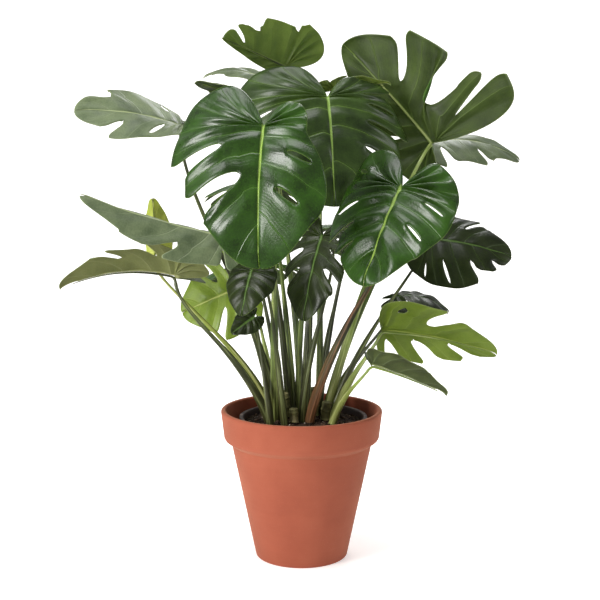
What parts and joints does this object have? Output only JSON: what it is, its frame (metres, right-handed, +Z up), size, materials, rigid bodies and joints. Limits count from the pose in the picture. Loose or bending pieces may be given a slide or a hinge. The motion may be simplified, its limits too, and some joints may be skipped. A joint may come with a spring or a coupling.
{
  "type": "potted monstera plant",
  "caption": "Swiss cheese plant with split leaves on long stalks, in a nursery pot of soil standing in a tapered clay pot with a wide collar.",
  "frame": {"origin": "centre of the clay pot's foot, on the surface it stands on", "axes": "+Z up, -Y towards the viewer's side that the broadest leaf faces, +X to the viewer's right"},
  "size_m": [0.8537, 0.782, 0.986],
  "materials": {
    "clay": "matte fired clay",
    "nursery_plastic": "thin moulded plastic",
    "soil": "damp peat mix",
    "cane": "woody, ringed",
    "stalk": "smooth green",
    "leaf": "waxy above, matte below",
    "young_leaf": "soft, new"
  },
  "bodies": {
    "root": {"cane_1": "cane", "cane_2": "cane", "cane_3": "cane", "cane_4": "cane", "clay_pot": "clay", "leaf_back_high": "leaf", "leaf_back_left": "leaf", "leaf_back_middle": "leaf", "leaf_back_right": "leaf", "leaf_crown_left": "leaf", "leaf_crown_middle": "leaf", "leaf_crown_right": "leaf", "leaf_crown_small": "leaf", "leaf_front_broad": "leaf", "leaf_front_lowest": "leaf", "leaf_front_middle": "leaf", "leaf_front_small": "leaf", "leaf_left_crown_small": "leaf", "leaf_left_high": "leaf", "leaf_left_low": "leaf", "leaf_left_low_back": "leaf", "leaf_left_middle": "leaf", "leaf_left_unfurling": "young_leaf", "leaf_right_back_small": "leaf", "leaf_right_broad": "leaf", "leaf_right_high": "leaf", "leaf_right_low": "leaf", "leaf_right_lowest": "leaf", "leaf_right_middle": "leaf", "nursery_pot": "nursery_plastic", "soil": "soil", "stalk_back_high": "stalk", "stalk_back_left": "stalk", "stalk_back_middle": "stalk", "stalk_back_right": "stalk", "stalk_crown_left": "stalk", "stalk_crown_middle": "stalk", "stalk_crown_right": "stalk", "stalk_crown_small": "stalk", "stalk_front_broad": "stalk", "stalk_front_lowest": "stalk", "stalk_front_middle": "stalk", "stalk_front_small": "stalk", "stalk_left_crown_small": "stalk", "stalk_left_high": "stalk", "stalk_left_low": "stalk", "stalk_left_low_back": "stalk", "stalk_left_middle": "stalk", "stalk_left_unfurling": "stalk", "stalk_right_back_small": "stalk", "stalk_right_broad": "stalk", "stalk_right_high": "stalk", "stalk_right_low": "stalk", "stalk_right_lowest": "stalk", "stalk_right_middle": "stalk"}
  },
  "joints": []
}
